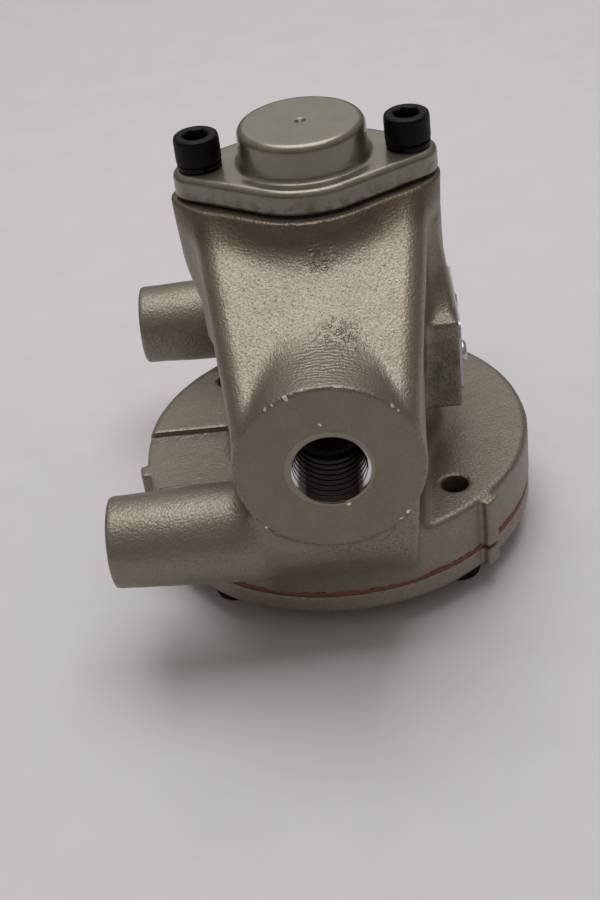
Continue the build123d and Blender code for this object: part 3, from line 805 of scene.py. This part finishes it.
def body_cuts(p):
    """Everything machined out of the casting, and a nick in its collar."""
    cuts = [
        rod(p, (-15.1, -9.4, 69.0), (-14.8, -9.4, 66.9), 0.5),
        disc(p, 26.1, 0, JOINT_TOP + 0.85), disc(p, 22.5, 0, 17.8), disc(p, 5.0, 16, 27.0),
        disc(p, 3.5, 26, 30), disc(p, 11.0, 29.0, 43.0), disc(p, 8.6, 42, 47),
        disc(p, CHAMBER_R, 46.0, BODY_TOP + 9), rod(p, (0, 15, 14.5), (0, 39, 14.5), 0.9)]
    for side in (-1, 1):
        face = (0, side * (PORT_FACE_Y + 1), PORT_AXIS_Z)
        inner = (0, side * (PORT_FACE_Y - PORT_THREAD_LENGTH), PORT_AXIS_Z)
        turn = (0, side * (PORT_FACE_Y - 20), PORT_AXIS_Z)
        end = (0, side * 7, 37 if side < 0 else 57)
        cuts.append(rod(p, face, inner, PORT_MOUTH_R))
        cuts.append(rod(p, inner, turn, PORT_BORE_R))
        cuts.append(rod(p, turn, end, PORT_BORE_R))
        boss = (SIDE_BOSS_FACE_X - 1, side * SIDE_BOSS_Y, SIDE_BOSS_Z)
        cuts.append(rod(p, boss, (SIDE_BOSS_FACE_X + 16, *boss[1:]), SIDE_THREAD_R + 0.25))
        cuts.append(disc(p, SCREW_HOLE_R, 58.0, BODY_TOP + 9, side * CAP_SCREW_X))
    for x, y in cover_screw_places():
        cuts.append(disc(p, SCREW_HOLE_R + 0.1, 0, FLANGE_TOP + 12, x, y))
        lead = ((x, y, FLANGE_TOP + 0.2), (x, y, FLANGE_TOP - 0.4))
        cuts.append(rod(p, *lead, SCREW_HOLE_R + 0.7, SCREW_HOLE_R))
    return cuts


def cover_screw_places():
    """Centres of the four cover screws."""
    angles = [radians(a) for a in (45, 135, 225, 315)]
    return [(SCREW_CIRCLE_R * cos(a), SCREW_CIRCLE_R * sin(a)) for a in angles]


def body_casting():
    """Body with its cast skin, then its machined faces and bores."""
    p = block(BODY_LOW, BODY_HIGH, 0.4)
    calm = smooth((BODY_TOP - p[2]) / 2.5) * smooth((PORT_FACE_Y + 0.6 - np.abs(p[1])) / 2.0)
    field = cast_body(p) + cast_skin(p, 11) * (0.15 + 0.85 * calm)
    beyond_boss = np.hypot(p[0], p[2] - PORT_AXIS_Z) - PORT_BOSS_R - 0.4
    port_facing = np.maximum(PORT_FACE_Y - np.abs(p[1]), beyond_boss)
    for plane in (p[2] - BODY_TOP, SIDE_BOSS_FACE_X - p[0], -port_facing):
        field = meet(field, plane, 0.35)
    field = np.maximum(field, JOINT_TOP - p[2])
    for hole in body_cuts(p):
        field = np.maximum(field, -hole)
    return surface("body_casting", p, field)


# =============================================================================================
# Cover, gasket and end cap
# =============================================================================================
def cover_casting():
    """Shallow dished cover with the pilot port in its middle."""
    p = block(COVER_LOW, COVER_HIGH, 0.4)
    x, y, z = p
    low = 4.8
    plate = meet(np.hypot(x, y) - FLANGE_R + 0.12, low - z, 1.2)
    lug = rim_lugs(p, low + 0.5, COVER_HIGH.z + 1)
    pilot = rod(p, (0, 0, 0), (0, 0, low + 1), 10.5, 12.0)
    field = join(join(plate, lug, 0.6), pilot, 2.0) + cast_skin(p, 31)
    field = np.maximum(field, np.maximum(z - COVER_HIGH.z, -z))
    cuts = [disc(p, 22.5, 7.6, 20), disc(p, PILOT_THREAD_R + 0.3, -3, 20)]
    cuts += [disc(p, 2.6, 0, 20, cx, cy) for cx, cy in cover_screw_places()]
    cuts += [disc(p, 4.4, 0, low + 0.05, cx, cy) for cx, cy in cover_screw_places()]
    for hole in cuts:
        field = np.maximum(field, -hole)
    return surface("cover_casting", p, field)


def gasket_ring():
    """Red sheet gasket, cut by hand a little unevenly."""
    rng = np.random.default_rng(5)
    steps = 360
    phases = rng.uniform(0, tau, 6)
    low, high = GASKET_LOW.z, GASKET_HIGH.z
    corner = 0.15
    section = [(0, low), (1, low), (1, low + corner), (1, high - corner), (1, high), (0, high)]
    rows = []
    for out, z in section:
        row = []
        for k in range(steps):
            a = tau * k / steps
            wave = sum(sin(n * a + q) / n for n, q in zip((3, 5, 9, 17, 31, 47), phases))
            r = 22.5 if out == 0 else FLANGE_R - 0.22 + 0.14 * wave
            if out and z in (low, high):
                r -= corner * 0.6
            r = min(r, FLANGE_R)
            row.append((r * cos(a), r * sin(a), z))
        rows.append(row)
    piece = grid_mesh("gasket_ring", rows)
    shade(piece, 40)
    return piece


def cap_casting():
    """Smooth die-cast end cap: lobed plate, round spring housing, spigot and spring pocket."""
    p = block(CAP_LOW, CAP_HIGH, 0.25)
    x, y, z = p
    plate_low, plate_top, dome_r = 73.1, 77.5, 11.1
    plate = meet(meet(lobed(p, 14.3, 4.9), z - plate_top, 1.3), plate_low - z, 0.35)
    dome = meet(np.hypot(x, y) - dome_r - 0.02 * (CAP_HIGH.z - z), z - CAP_HIGH.z, 1.4)
    dome = np.maximum(dome, plate_low - z)
    field = join(plate, dome, 1.3) + 0.05 * ripple(p, 5.0, 51)
    field = np.maximum(field, np.maximum(z - CAP_HIGH.z, plate_low - z))
    spigot = disc(p, 12.35, CAP_LOW.z, plate_low + 0.5)
    field = np.minimum(field, spigot)
    mark = np.sqrt(x ** 2 + y ** 2 + (z - CAP_HIGH.z - 0.35) ** 2) - 0.95
    cuts = [disc(p, 8.7, 0, 81.3), mark]
    cuts += [disc(p, 2.6, 0, 90, side * CAP_SCREW_X) for side in (-1, 1)]
    for hole in cuts:
        field = np.maximum(field, -hole)
    return surface("cap_casting", p, field)


# =============================================================================================
# Camera, lights and floor
# =============================================================================================
def make_camera():
    """Camera above and in front of the object, tipped and slightly rolled."""
    azimuth, elevation, roll = radians(3.7325), radians(35.115), radians(-7.523)
    data = bpy.data.cameras.new("camera")
    data.sensor_width = 36.0
    data.lens = 60.70
    camera = bpy.data.objects.new("camera", data)
    bpy.context.collection.objects.link(camera)
    back = Vector((sin(azimuth) * cos(elevation), -cos(azimuth) * cos(elevation), sin(elevation)))
    right = Vector((cos(azimuth), sin(azimuth), 0))
    up = back.cross(right)
    rolled_right = right * cos(roll) + up * sin(roll)
    rolled_up = up * cos(roll) - right * sin(roll)
    turn = Matrix((rolled_right, rolled_up, back)).transposed().to_4x4()
    camera.matrix_world = Matrix.Translation(Vector((8.53, -242.75, 186.83)) * MM) @ turn
    data.clip_start, data.clip_end = 0.01, 20
    bpy.context.scene.camera = camera


def area_light(name, place, target, size, power, colour=(1, 1, 1)):
    """Square soft light aimed at a point; places in metres."""
    data = bpy.data.lights.new(name, "AREA")
    data.size = size
    data.energy = power
    data.color = colour
    light = bpy.data.objects.new(name, data)
    light.location = place
    light.rotation_mode = "QUATERNION"
    light.rotation_quaternion = (Vector(target) - Vector(place)).to_track_quat("-Z", "Y")
    bpy.context.collection.objects.link(light)


def make_stage():
    """Pale floor, soft light from above and behind, and a dim grey surround."""
    mesh = bpy.data.meshes.new("floor")
    half = 3.0
    corners = [(-half, -half, 0), (half, -half, 0), (half, half, 0), (-half, half, 0)]
    mesh.from_pydata(corners, [], [(0, 1, 2, 3)])
    floor = bpy.data.objects.new("floor", mesh)
    bpy.context.collection.objects.link(floor)
    mesh.materials.append(floor_finish())
    centre = (0, 0, 0.04)
    area_light("overhead", (0.0, 0.12, 0.75), centre, 0.60, 3.2, (0.96, 0.965, 1.0))
    area_light("behind", (0.0, 0.95, 0.75), centre, 0.70, 0.65, (1.0, 0.98, 0.96))
    bpy.context.scene.world = make_surround()
    bpy.context.scene.view_settings.view_transform = "Standard"


def make_surround():
    """Dim room light, darkest near the horizon."""
    world = bpy.data.worlds.new("surround")
    world.use_nodes = True
    nodes, links = world.node_tree.nodes, world.node_tree.links
    direction = nodes.new("ShaderNodeTexCoord").outputs["Generated"]
    height = nodes.new("ShaderNodeSeparateXYZ")
    links.new(direction, height.inputs[0])
    ramp = nodes.new("ShaderNodeValToRGB")
    ramp.color_ramp.elements[0].position = 0.05
    ramp.color_ramp.elements[0].color = (0.050, 0.043, 0.035, 1)
    ramp.color_ramp.elements[1].position = 0.55
    ramp.color_ramp.elements[1].color = (0.300, 0.275, 0.250, 1)
    links.new(height.outputs["Z"], ramp.inputs["Fac"])
    links.new(ramp.outputs["Color"], nodes["Background"].inputs["Color"])
    return world


# =============================================================================================
# Assembly
# =============================================================================================
def dress(piece, material, body, slot, *nodes):
    """Gives a made piece its material and body, and hides the nodes that it replaces; the record slot is not
    used.
    """
    piece.data.materials.clear()
    piece.data.materials.append(material)
    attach(piece, body)
    if nodes:
        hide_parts(*nodes)


def paint_machined_faces(piece, material, flat):
    """Gives the faces that lie on machined planes a second material."""
    mesh = piece.data
    mesh.materials.append(material)
    index = len(mesh.materials) - 1
    count = len(mesh.polygons)
    centres = np.empty(count * 3, np.float32)
    mesh.polygons.foreach_get("center", centres)
    normals = np.empty(count * 3, np.float32)
    mesh.polygons.foreach_get("normal", normals)
    chosen = flat(centres.reshape(-1, 3) / MM, normals.reshape(-1, 3))
    mesh.polygons.foreach_set("material_index", np.where(chosen, index, 0).astype(np.int32))


def machined_body(c, n):
    """Which faces of the body are machined: those that lie on a machined plane and face out of it."""
    close = 0.06
    port = (np.abs(np.abs(c[:, 1]) - PORT_FACE_Y) < close)
    port &= np.hypot(c[:, 0], c[:, 2] - PORT_AXIS_Z) < PORT_BOSS_R + 0.4
    boss = (np.abs(c[:, 0] - SIDE_BOSS_FACE_X) < close) & (n[:, 0] < -0.97)
    top = (np.abs(c[:, 2] - BODY_TOP) < close) & (n[:, 2] > 0.97)
    joint = (np.abs(c[:, 2] - JOINT_TOP) < close) & (n[:, 2] < -0.97)
    return port | boss | top | joint


def make_object():
    """Every piece of the object."""
    housing = "housing"
    cast, machined, smooth_cast = cast_paint("cast_paint"), machined_paint(), smooth_paint()
    bright = metal("cut_aluminium", (0.40, 0.385, 0.37), 0.28, 0.5)
    port_metal_finish = port_metal()
    body = body_casting()
    dress(body, cast_paint("body_paint", True), housing, "cast_body", "valve_body")
    paint_machined_faces(body, machined, machined_body)
    cover = cover_casting()
    dress(cover, cast, housing, "cast_body", "diaphragm_cover")
    cap = cap_casting()
    dress(cap, smooth_cast, housing, "cast_cap", "end_cap")
    dress(gasket_ring(), rubber("red_sheet", (0.21, 0.050, 0.030)), housing, "red_gasket", "diaphragm_gasket")

    for name, side in (("front_port_thread", -1), ("rear_port_thread", 1)):
        liner = thread_liner(name, PORT_THREAD_R, PORT_THREAD_PITCH, PORT_THREAD_LENGTH, 6.95, 7.4, 1 / 32)
        face = (0, side * PORT_FACE_Y, PORT_AXIS_Z)
        placed(liner, Matrix.Translation(face) @ Matrix.Rotation(side * pi / 2, 4, "X"))
        dress(liner, port_metal_finish, housing, "cast_body")
    for name, side in (("front_boss_thread", -1), ("rear_boss_thread", 1)):
        liner = thread_liner(name, SIDE_THREAD_R, SIDE_THREAD_PITCH, 15.5, 4.15, 4.5)
        face = (SIDE_BOSS_FACE_X, side * SIDE_BOSS_Y, SIDE_BOSS_Z)
        placed(liner, Matrix.Translation(face) @ Matrix.Rotation(pi / 2, 4, "Y"))
        dress(liner, bright, housing, "cast_body")
    pilot = thread_liner("pilot_port_thread", PILOT_THREAD_R, PILOT_THREAD_PITCH, 7.5, 5.05, 5.4, 1 / 32)
    dress(pilot, bright, housing, "cast_body")

    black = metal("black_oxide", (0.003, 0.003, 0.0035), 0.42, 0.4, metallic=0.0, Specular_IOR_Level=0.16)
    cap_screws = [socket_head("s", x, 0, WASHER_HIGH.z, 20 + x, True) for x in (-CAP_SCREW_X, CAP_SCREW_X)]
    dress(merged("cap_screw_pair", cap_screws), black, housing, "black_oxide", "end_cap_screws")
    cover_screws = [socket_head("s", x, y, 4.8, x, False) for x, y in cover_screw_places()]
    dress(merged("cover_screw_set", cover_screws), black, housing, "black_oxide", "cover_screws")
    washers = [lock_washer("w", x, turn) for x, turn in ((-CAP_SCREW_X, -70), (CAP_SCREW_X, -110))]
    dress(merged("lock_washer_pair", washers), black, housing, "black_oxide", "lock_washers")

    finishes = {
        "diaphragm": rubber("diaphragm_rubber", (0.05, 0.045, 0.045), 0.04, 0.6),
        "lower_diaphragm_plate": metal("zinc_plate", (0.62, 0.62, 0.60), 0.35),
        "upper_diaphragm_plate": metal("zinc_plate_upper", (0.62, 0.62, 0.60), 0.35),
        "stem": metal("ground_stainless", (0.66, 0.66, 0.65), 0.18, 0.4, (1, 1, 6)),
        "stem_nut": metal("zinc_nut", (0.62, 0.62, 0.58), 0.33),
        "poppet_nut": metal("zinc_nut_upper", (0.62, 0.62, 0.58), 0.33),
        "stem_bush": metal("sintered_bronze", (0.50, 0.34, 0.17), 0.45, 0.25, (1, 1, 1), 0.02),
        "stem_seal": rubber("seal_rubber", (0.02, 0.02, 0.02)),
        "seat_insert": metal("seat_brass", (0.72, 0.55, 0.27), 0.22, 0.4, (1, 1, 5)),
        "poppet_retainer": metal("zinc_washer", (0.60, 0.60, 0.58), 0.35),
        "poppet_seal": rubber("poppet_rubber", (0.022, 0.022, 0.022)),
        "poppet": metal("poppet_brass", (0.70, 0.54, 0.28), 0.25, 0.4, (1, 1, 5)),
        "return_spring": metal("spring_wire", (0.48, 0.48, 0.50), 0.3, 0.3),
        "end_cap_gasket": rubber("black_sheet", (0.02, 0.02, 0.02)),
        "nameplate": metal("brushed_plate", (0.58, 0.58, 0.59), 0.42, 0.3, (1, 0.08, 1), 0.01),
        "nameplate_pins": metal("pin_steel", (0.60, 0.60, 0.60), 0.3),
    }
    for node, material in finishes.items():
        mesh = frame["nodes"][node].data
        mesh.materials.clear()
        mesh.materials.append(material)


make_camera()
make_stage()
make_object()
